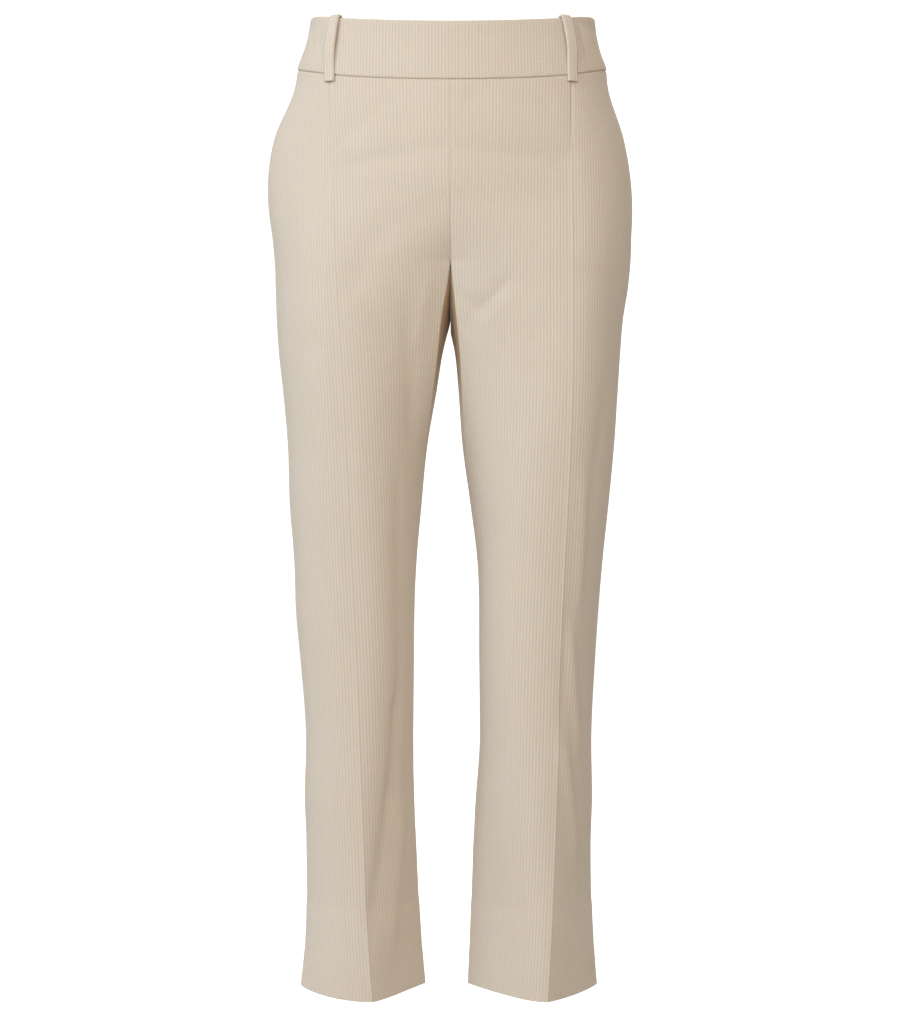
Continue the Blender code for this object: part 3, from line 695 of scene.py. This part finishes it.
def leg_panel(side, face):
    levels = panel_levels(face)
    mouth = 1.0 if face == FRONT else 0.0

    def place(t):
        return surface(side, face, t, panel_heights(face, levels, t), mouth)

    def sink(laid, base):
        height = base[..., 2]
        closed = 1 - mouth * mouth_opening(height)
        sunk = np.maximum(
            rolled(laid.distance - laid.low, ROLL_DEPTH) * closed,
            np.where(
                height > CROTCH_HEIGHT,
                rolled(laid.high - laid.distance, CENTRE_ROLL[face]),
                rolled(laid.high - laid.distance, INSEAM_ROLL[face], INSEAM_ROLL_WIDTH[face]),
            ),
        )
        sunk = np.maximum(sunk, rolled((levels[0] - levels)[:, None], WAIST_ROLL, WAIST_ROLL_WIDTH))
        if face == FRONT:
            dart = ease((height - DART_FOOT) / DART_FADE)
            sunk += DART_DEPTH * dart * np.exp(-((laid.distance / DART_WIDTH) ** 2))
        ironed = ease((DART_FOOT - height) / DART_FADE)
        sunk -= CREASE_RISE * ironed * np.exp(-((laid.distance / CREASE_WIDTH) ** 2))
        pressed = ease(1 - np.abs(base[..., 0]) / PRESSED) * (height < CROTCH_HEIGHT)
        sunk += WALE_HEIGHT / 2 * pressed
        sunk -= HEM_PROUD * ease((HEM_TOP - height) / HEM_STEP)
        turn = np.exp(-(((height - HEM_AT_SIDE - HEM_TURN) / HEM_PRICK_WIDTH) ** 2))
        return sunk + HEM_PRICK * turn + sunk_in_folds(f"{face}_{side}", laid.distance, height)

    name = f"cloth_{face}_{side}"
    flip = turned_over(side, face)
    shaped = int((levels > CROTCH_HEIGHT + FORK[face] + BODY_STEP).sum())
    obj = ribbed_cloth(name, place, 0.5, levels, CLOTH, sink, flip, shaped=shaped)
    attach(obj, "root")
    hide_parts(f"{face}_panel_{side}")
    return obj


panels = [leg_panel(side, face) for side in (RIGHT, LEFT) for face in (FRONT, BACK)]

# %% [markdown]
# ## Waistband
#
# The band is a doubled strip, cut with the ribs running up and down like those of the legs. The
# front is one piece from side seam to side seam, the back two pieces that meet at the centre.
# A doubled strip stands a little proud of the single cloth below, and its top edge is a fold.

# %% Waistband
BAND_CLOTH = 2.6 * MM
BAND_PROUD = 0.8 * MM
BAND_ROLL = 1.2 * MM
BAND_STEP = 5.0 * MM
TOP_ROLL = 1.1 * MM


def band_shares():
    """Places down the band, from 0 at its top edge to 1 at the seam, close together at both."""
    height = BAND_TOP.side - WAIST_SEAM.side
    edge = EDGE_ROWS / height
    middle = np.linspace(edge[-1], 1 - edge[-1], int(height / BAND_STEP) + 1)[1:-1]
    return np.concatenate([edge, middle, 1 - edge[::-1]])


def band_quarter(side, face, across, shares):
    top = edge_height(BAND_TOP, face, across)
    foot = edge_height(WAIST_SEAM, face, across) + SEAM_GAP / 2
    return surface(side, face, across, top + (foot - top) * shares[:, None])


def waistband(name, place, grain, shares, flip, node):
    down = shares * (BAND_TOP.side - WAIST_SEAM.side)

    def sink(laid, base):
        sunk = np.maximum(
            rolled(laid.distance - laid.low, ROLL_DEPTH),
            rolled(laid.high - laid.distance, ROLL_DEPTH),
        )
        sunk = np.maximum(sunk, rolled((down[-1] - down)[:, None], BAND_ROLL, WAIST_ROLL_WIDTH))
        sunk = np.maximum(sunk, rolled((down - down[0])[:, None], TOP_ROLL))
        return sunk + sunk_in_folds(name.replace("cloth_", ""), laid.distance, base[..., 2])

    obj = ribbed_cloth(name, place, grain, -down, BAND_CLOTH, sink, flip, off=BAND_PROUD)
    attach(obj, "root")
    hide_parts(node)
    return obj


def place_front_band(t):
    """The front of the band runs from the right side seam (0) over the centre to the left (1)."""
    shares = band_shares()
    t = np.asarray(t)
    right = band_quarter(RIGHT, FRONT, np.clip(2 * t, 0, 1), shares)
    left = band_quarter(LEFT, FRONT, np.clip(2 - 2 * t, 0, 1), shares)
    return np.where(np.broadcast_to(t < 0.5, right.shape[:2])[..., None], right, left)


bands = [
    waistband(
        "cloth_band_front",
        place_front_band,
        0.5,
        band_shares(),
        False,
        "waistband_front",
    )
]
for side in (RIGHT, LEFT):
    bands.append(
        waistband(
            f"cloth_band_back_{side}",
            lambda t, side=side: band_quarter(side, BACK, t, band_shares()),
            1.0,
            band_shares(),
            turned_over(side, BACK),
            f"waistband_back_{side}",
        )
    )

# %% [markdown]
# ## Pocket facings
#
# The side pockets are let into the side seams. When a hand opens one, the strip behind its mouth
# is seen, and it is the same corduroy so that no lining flashes out. Here the mouths lie shut and
# only a line of the strip can be caught from the side.

# %% Pocket facings
FACING_CLEARANCE = 0.6 * MM
FACING_OVERLAP = 12 * MM
FACING_ACROSS = 0.30
FACING_STEP = 8 * MM


def pocket_facing(side):
    low, high = MOUTH_FOOT - FACING_OVERLAP, MOUTH_TOP + FACING_OVERLAP / 4
    heights = np.linspace(high, low, int((high - low) / FACING_STEP) + 1)
    flip = turned_over(side, FRONT)

    def place(t):
        height = np.broadcast_to(heights[:, None], (len(heights), np.shape(t)[-1]))
        grid = surface(side, FRONT, np.asarray(t) * FACING_ACROSS, height)
        return grid - outward_normals(grid, flip) * (CLOTH + FACING_CLEARANCE + WALE_HEIGHT / 2)

    def sink(laid, base):
        return np.zeros(laid.distance.shape)

    name = f"cloth_facing_{side}"
    obj = ribbed_cloth(name, place, 0.0, heights, CLOTH / 2, sink, flip, mitred=False)
    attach(obj, "root")
    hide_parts(f"pocket_facing_{side}")
    return obj


facings = [pocket_facing(side) for side in (RIGHT, LEFT)]

# %% [markdown]
# ## Belt loops
#
# A belt loop is a strip folded in three with its edges inside, stitched down both edges, and
# caught in the waist seam below and over the top of the band above. Between the two it stands
# off the band by the thickness of a belt. Its path is a short table, rounded by cutting its
# corners three times.

# %% Belt loops
LOOP_WIDTH = 3.5 * WALE
LOOP_CLOTH = 2.0 * MM
LOOP_EDGE_ROLL = 0.9 * MM
LOOP_STEP = 0.9 * MM
LOOP_STITCH_IN, LOOP_STITCH_DEPTH, STITCH = 2.6 * MM, 0.45 * MM, 2.7 * MM
LOOP_STITCH_WIDTH = 0.45 * MM
BACK_LOOP_ACROSS = 0.68

LoopPoint = namedtuple("LoopPoint", "start height stand_off")
LOOP_PATH = [
    LoopPoint("seam", -0.0072, 0.0003),
    LoopPoint("seam", -0.0010, 0.0004),
    LoopPoint("seam", 0.0050, 0.0006),
    LoopPoint("seam", 0.0110, 0.0014),
    LoopPoint("seam", 0.0220, 0.0028),
    LoopPoint("seam", 0.0340, 0.0036),
    LoopPoint("top", -0.0110, 0.0030),
    LoopPoint("top", -0.0030, 0.0020),
    LoopPoint("top", 0.0004, 0.0012),
    LoopPoint("top", 0.0010, -0.0006),
    LoopPoint("top", 0.0006, -0.0034),
    LoopPoint("top", -0.0040, -0.0042),
]


def corners_cut(path, times):
    """A smooth path from a polyline, by cutting its corners; its ends stay."""
    for _ in range(times):
        near = path[:-1] * 0.75 + path[1:] * 0.25
        far = path[:-1] * 0.25 + path[1:] * 0.75
        middle = np.stack([near, far], 1).reshape(-1, path.shape[1])
        path = np.concatenate([path[:1], middle[1:-1], path[-1:]])
    return path


def evenly(path, step):
    """The path again, with a point every step."""
    run = np.concatenate([[0], np.cumsum(np.linalg.norm(np.diff(path, axis=0), axis=1))])
    wanted = np.linspace(0, run[-1], int(run[-1] / step) + 1)
    return np.stack([np.interp(wanted, run, path[:, k]) for k in range(path.shape[1])], -1), wanted


def loop_frame(side, face, across):
    """Unit vectors along the cloth and out of it, level, where a loop sits."""
    edges = {"seam": WAIST_SEAM, "top": BAND_TOP}
    start = {name: edge_height(edge, face, across) for name, edge in edges.items()}
    middle = (start["seam"] + start["top"]) / 2
    around = surface(side, face, np.array([across - 0.01, across + 0.01]), middle)
    along = (around[1] - around[0]) * [1, 1, 0]
    along /= np.linalg.norm(along)
    outward = np.array([along[1], -along[0], 0.0])
    if outward[1] * FACING_SIGN[face] < 0:
        outward = -outward
    return start, along, outward


def loop_points(side, face, across, start, outward):
    """The loop's middle line from its top end down, and the run along it."""
    rows = np.array([[start[p.start] + p.height, p.stand_off] for p in LOOP_PATH[::-1]])
    path, run = evenly(corners_cut(rows, 3), LOOP_STEP)
    stand_off = path[:, 1:] + BAND_PROUD + WALE_HEIGHT / 2
    middle = surface(side, face, across, path[:, 0]) + outward * stand_off
    return middle, run


def belt_loop(side, face, across):
    start, along, outward = loop_frame(side, face, across)
    middle, run = loop_points(side, face, across, start, outward)

    def place(t):
        t = np.broadcast_to(t, (len(middle), np.shape(t)[-1]))
        return middle[:, None] + along * ((t - 0.5) * LOOP_WIDTH)[..., None]

    def sink(laid, base):
        edge = np.minimum(laid.distance - laid.low, laid.high - laid.distance)
        pulled = 0.7 + 0.3 * np.cos(2 * np.pi * run / STITCH)[:, None]
        stitched = np.exp(-(((edge - LOOP_STITCH_IN) / LOOP_STITCH_WIDTH) ** 2))
        return rolled(edge, LOOP_EDGE_ROLL) + LOOP_STITCH_DEPTH * pulled * stitched

    name = f"cloth_loop_{face}_{side}"
    flip = turned_over(side, face)
    obj = ribbed_cloth(name, place, 0.5, -run, LOOP_CLOTH, sink, flip, mitred=False, off=LOOP_CLOTH)
    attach(obj, "root")
    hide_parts(f"belt_loop_{face}_{side}")
    return obj


loops = []
for side in (RIGHT, LEFT):
    loops.append(belt_loop(side, FRONT, 0.5))
    loops.append(belt_loop(side, BACK, BACK_LOOP_ACROSS))

# %% [markdown]
# ## Corduroy as a material
#
# Brushed cotton pile scatters light from between its fibres: it has no gloss, it glows at grazing
# angles, and each rib is lighter on its crown than in the valley beside it, where the ground
# weave shows. The pile also leans this way and that, so broad patches are a shade lighter or
# darker. All of that is driven by the cloth's own UV map, which is in metres. Only the painted
# shade inside the thighs, a brown that stands for the shade between the legs, and the paler hems
# go by their place on the garment.

# %% Node helpers


def linear(srgb):
    """An sRGB hex value as the linear colour that shaders use."""
    channels = [int(srgb[i : i + 2], 16) / 255 for i in (0, 2, 4)]
    return [c / 12.92 if c <= 0.04045 else ((c + 0.055) / 1.055) ** 2.4 for c in channels] + [1.0]


def add_node(tree, kind, links=None, **settings):
    """A node with its settings; links are input name or index: output socket or value."""
    node = tree.nodes.new(kind)
    for key, value in settings.items():
        setattr(node, key, value)
    for key, value in (links or {}).items():
        if isinstance(value, bpy.types.NodeSocket):
            tree.links.new(value, node.inputs[key])
        else:
            node.inputs[key].default_value = value
    return node


def mapped(tree, value, low, high, to_low=0.0, to_high=1.0, smooth=False):
    """A value's place between two others, moved to a new range."""
    kind = "SMOOTHSTEP" if smooth else "LINEAR"
    links = {0: value, 1: low, 2: high, 3: to_low, 4: to_high}
    return add_node(tree, "ShaderNodeMapRange", links, interpolation_type=kind).outputs[0]


def product(tree, first, second):
    """Two values multiplied."""
    return add_node(tree, "ShaderNodeMath", {0: first, 1: second}, operation="MULTIPLY").outputs[0]


def scaled(tree, vector, by):
    """A vector or a colour multiplied by another, or by a value."""
    links = {0: vector, 1: by}
    return add_node(tree, "ShaderNodeVectorMath", links, operation="MULTIPLY").outputs[0]


def blended(tree, share, first, second):
    """A colour between two others."""
    links = {0: share, 6: first, 7: second}
    return add_node(tree, "ShaderNodeMix", links, data_type="RGBA").outputs[2]


def noise(tree, place, scale, detail):
    """Cloudy noise at a place, drawn out by a scale for each axis."""
    links = {"Vector": scaled(tree, place, scale), "Detail": detail, "Scale": 1.0}
    return add_node(tree, "ShaderNodeTexNoise", links).outputs[0]


def new_material(name, look):
    """A material, its node tree and its shader with these settings."""
    material = bpy.data.materials.new(name)
    material.use_nodes = True
    shader = material.node_tree.nodes["Principled BSDF"]
    for key, value in look.items():
        shader.inputs[key].default_value = value
    return material, material.node_tree, shader


# %% Corduroy
Pile = namedtuple("Pile", "crown valley patch rubbed")
# The last colour of each pile is painted shade: the brown of the shade between the thighs.
BRUSHED_COTTON = Pile(crown="E1D5C3", valley="D8C8B3", patch="DECEBA", rubbed="BC9C7A")
FOLDED_STRIP = Pile(crown="E5DACA", valley="D8C9B5", patch="E0D1BD", rubbed="BC9C7A")
PILE_LOOK = {
    "Roughness": 0.95,
    "Specular IOR Level": 0.15,
    "Sheen Weight": 0.12,
    "Sheen Roughness": 0.45,
    "Sheen Tint": linear("FFFAF2"),
    "Subsurface Weight": 0.6,
    "Subsurface Scale": 1.2 * MM,
    "Subsurface Radius": (1.0, 0.75, 0.55),
}
# Tufts are about half a millimetre wide and lean along the rib, so their noise is drawn out.
# Patches are where the pile has been stroked one way or another, over a few centimetres.
TUFTS_A_METRE, PATCHES_A_METRE = (2200, 520, 1), (26, 9, 1)
PATCH_SHARE = 0.45
TUFT_DARKEST, TUFT_LIGHTEST = 0.86, 1.08
TUFT_HEIGHT = 0.25 * MM
HEM_PALER = 1.02  # the hem is doubled, so it is pressed flatter and looks paler
# Each pair is the place where the painted shade between the thighs begins and where it is full.
PAINTED_SHADE_FORWARDS = (-0.024, -0.048)
PAINTED_SHADE_UPWARDS = (-0.40, -0.30)
PAINTED_SHADE_DOWNWARDS = (-0.205, -0.235)


def painted_shade_place(tree):
    """1 on the inside of the thighs, where the shade between the legs is painted into the colour,
    and 0 elsewhere.
    """
    place = add_node(tree, "ShaderNodeTexCoord").outputs["Object"]
    parts = add_node(tree, "ShaderNodeSeparateXYZ", {0: place}).outputs
    near = mapped(tree, parts[1], *PAINTED_SHADE_FORWARDS, smooth=True)
    above = mapped(tree, parts[2], *PAINTED_SHADE_UPWARDS, smooth=True)
    below = mapped(tree, parts[2], *PAINTED_SHADE_DOWNWARDS, smooth=True)
    return product(tree, product(tree, near, above), below)


def pile_colour(tree, uv, pile, rubbed):
    """Light crowns with stroked patches, and darker valleys between them."""
    parts = add_node(tree, "ShaderNodeSeparateXYZ", {0: uv})
    turn = product(tree, parts.outputs[0], 2 * np.pi / WALE)
    wave = add_node(tree, "ShaderNodeMath", {0: turn}, operation="COSINE").outputs[0]
    patches = noise(tree, uv, PATCHES_A_METRE, 4.0)
    stroked = mapped(tree, patches, 0.35, 0.7, to_high=PATCH_SHARE)
    on_crown = blended(tree, stroked, linear(pile.crown), linear(pile.patch))
    crown = mapped(tree, wave, -1.0, 0.15, smooth=True)
    cloth = blended(tree, crown, linear(pile.valley), on_crown)
    # Painted shade: inside the thighs the colour turns to a shaded brown.
    if rubbed:
        cloth = blended(tree, painted_shade_place(tree), cloth, linear(pile.rubbed))
    return cloth


def pile_material(name, pile, rubbed=False):
    """Corduroy's ribbed face."""
    material, tree, shader = new_material(name, PILE_LOOK)
    uv = add_node(tree, "ShaderNodeUVMap", uv_map="cloth").outputs[0]
    tufts = noise(tree, uv, TUFTS_A_METRE, 3.0)
    uneven = mapped(tree, tufts, 0.25, 0.75, TUFT_DARKEST, TUFT_LIGHTEST)
    place = add_node(tree, "ShaderNodeTexCoord").outputs["Object"]
    height = add_node(tree, "ShaderNodeSeparateXYZ", {0: place}).outputs[2]
    paler = mapped(tree, height, HEM_TOP, HEM_TOP - HEM_STEP, to_low=1.0, to_high=HEM_PALER)
    colour = scaled(tree, pile_colour(tree, uv, pile, rubbed), product(tree, uneven, paler))
    relief = {"Height": tufts, "Distance": TUFT_HEIGHT, "Strength": 0.6}
    bump = add_node(tree, "ShaderNodeBump", relief)
    tree.links.new(colour, shader.inputs["Base Color"])
    tree.links.new(bump.outputs[0], shader.inputs["Normal"])
    return material


# %% [markdown]
# The pile is only on one side. The other is the bare ground weave, a twill, whose fine diagonal
# lines are a wave pattern on the same UV map. It shows only inside the waist and the hems.

# %% Back of the cloth
TWILL_VALLEY, TWILL_RIDGE = "B39D80", "C4AE92"
TWILL_HEIGHT = 0.1 * MM


def back_material():
    """The smooth back of the cloth: a plain cotton twill."""
    look = {"Roughness": 0.9, "Specular IOR Level": 0.2}
    material, tree, shader = new_material("cotton_twill_back", look)
    uv = add_node(tree, "ShaderNodeUVMap", uv_map="cloth").outputs[0]
    weave = {"Vector": uv, "Scale": 180.0, "Distortion": 0.4}
    twill = add_node(tree, "ShaderNodeTexWave", weave, bands_direction="DIAGONAL").outputs[1]
    colour = blended(tree, twill, linear(TWILL_VALLEY), linear(TWILL_RIDGE))
    relief = {"Height": twill, "Distance": TWILL_HEIGHT, "Strength": 0.5}
    bump = add_node(tree, "ShaderNodeBump", relief)
    tree.links.new(colour, shader.inputs["Base Color"])
    tree.links.new(bump.outputs[0], shader.inputs["Normal"])
    return material


# %% Dress the pieces
corduroy = pile_material("cotton_corduroy_8_wale", BRUSHED_COTTON)
# The back panels get the brown of painted shade inside the thighs.
corduroy_painted_shade = pile_material("cotton_corduroy_painted_shade", BRUSHED_COTTON, rubbed=True)
strip = pile_material("cotton_corduroy_folded", FOLDED_STRIP)
twill_back = back_material()
for obj in panels + bands + facings:
    at_the_back = obj.name.startswith("cloth_back")
    obj.data.materials.append(corduroy_painted_shade if at_the_back else corduroy)
    obj.data.materials.append(twill_back)
for obj in loops:
    obj.data.materials.append(strip)
    obj.data.materials.append(twill_back)

# %% [markdown]
# ## Light and floor
#
# Pale clothes on white are lit by a big cool source from the front left and a small white one in
# front, with warmer white all round that is weaker on the right. The left faces of the folds
# then read light and cool and the right ones warm and darker, which is all that shows the form
# of such pale cloth. A third lamp behind keeps the back readable.

# %% Floor
FLOOR_HEIGHT, FLOOR_SIZE = -1.02, 30
FLOOR_GLOW = 0.9  # only what the camera sees of it, so that it reads as white paper
bpy.ops.object.select_all(action="DESELECT")
bpy.ops.mesh.primitive_plane_add(size=FLOOR_SIZE, location=(0, 0, FLOOR_HEIGHT))
floor = bpy.context.object
floor.name = "floor"
matt = {
    "Base Color": linear("C4C4C4"),
    "Roughness": 1.0,
    "Specular IOR Level": 0.0,
    "Emission Color": linear("FFFFFF"),
}
white, tree, paper = new_material("white_paper_sweep", matt)
seen = add_node(tree, "ShaderNodeLightPath").outputs["Is Camera Ray"]
tree.links.new(product(tree, seen, FLOOR_GLOW), paper.inputs["Emission Strength"])
floor.data.materials.append(white)

# %% Lights
Lamp = namedtuple("Lamp", "name place size power colour")
LAMPS = [
    Lamp("front", (0.2, -3.1, 1.15), 1.6, 41, "FFFFFF"),
    Lamp("key_left", (-2.55, -2.3, 1.1), 2.8, 69, "CDE5FF"),
    Lamp("key_behind", (0.9, 3.1, 1.5), 2.0, 60, "EDF6FF"),
]
AIM = (0, 0, -0.45)
for lamp in LAMPS:
    data = bpy.data.lights.new(lamp.name, "AREA")
    data.size = lamp.size
    data.energy = lamp.power
    data.color = linear(lamp.colour)[:3]
    light = bpy.data.objects.new(lamp.name, data)
    light.location = lamp.place
    towards = Vector(AIM) - Vector(lamp.place)
    light.rotation_euler = towards.to_track_quat("-Z", "Y").to_euler()
    bpy.context.scene.collection.objects.link(light)

# %% White all round
world = bpy.data.worlds.new("white_studio")
bpy.context.scene.world = world
world.use_nodes = True
SHOWN_WHITE, WHITE_AT_LEFT, WHITE_AT_RIGHT = 1.3, 0.63, 0.32
tree = world.node_tree
backdrop = tree.nodes["Background"]
place = add_node(tree, "ShaderNodeTexCoord").outputs["Generated"]
sideways = add_node(tree, "ShaderNodeSeparateXYZ", {0: place}).outputs[0]
lit = mapped(tree, sideways, -1.0, 1.0, WHITE_AT_LEFT, WHITE_AT_RIGHT)
seen = add_node(tree, "ShaderNodeLightPath").outputs["Is Camera Ray"]
tint = blended(tree, seen, linear("FFEFDE"), linear("FFFFFF"))
tree.links.new(tint, backdrop.inputs["Color"])
tree.links.new(mapped(tree, seen, 0.0, 1.0, lit, SHOWN_WHITE), backdrop.inputs["Strength"])
bpy.context.scene.view_settings.view_transform = "Standard"
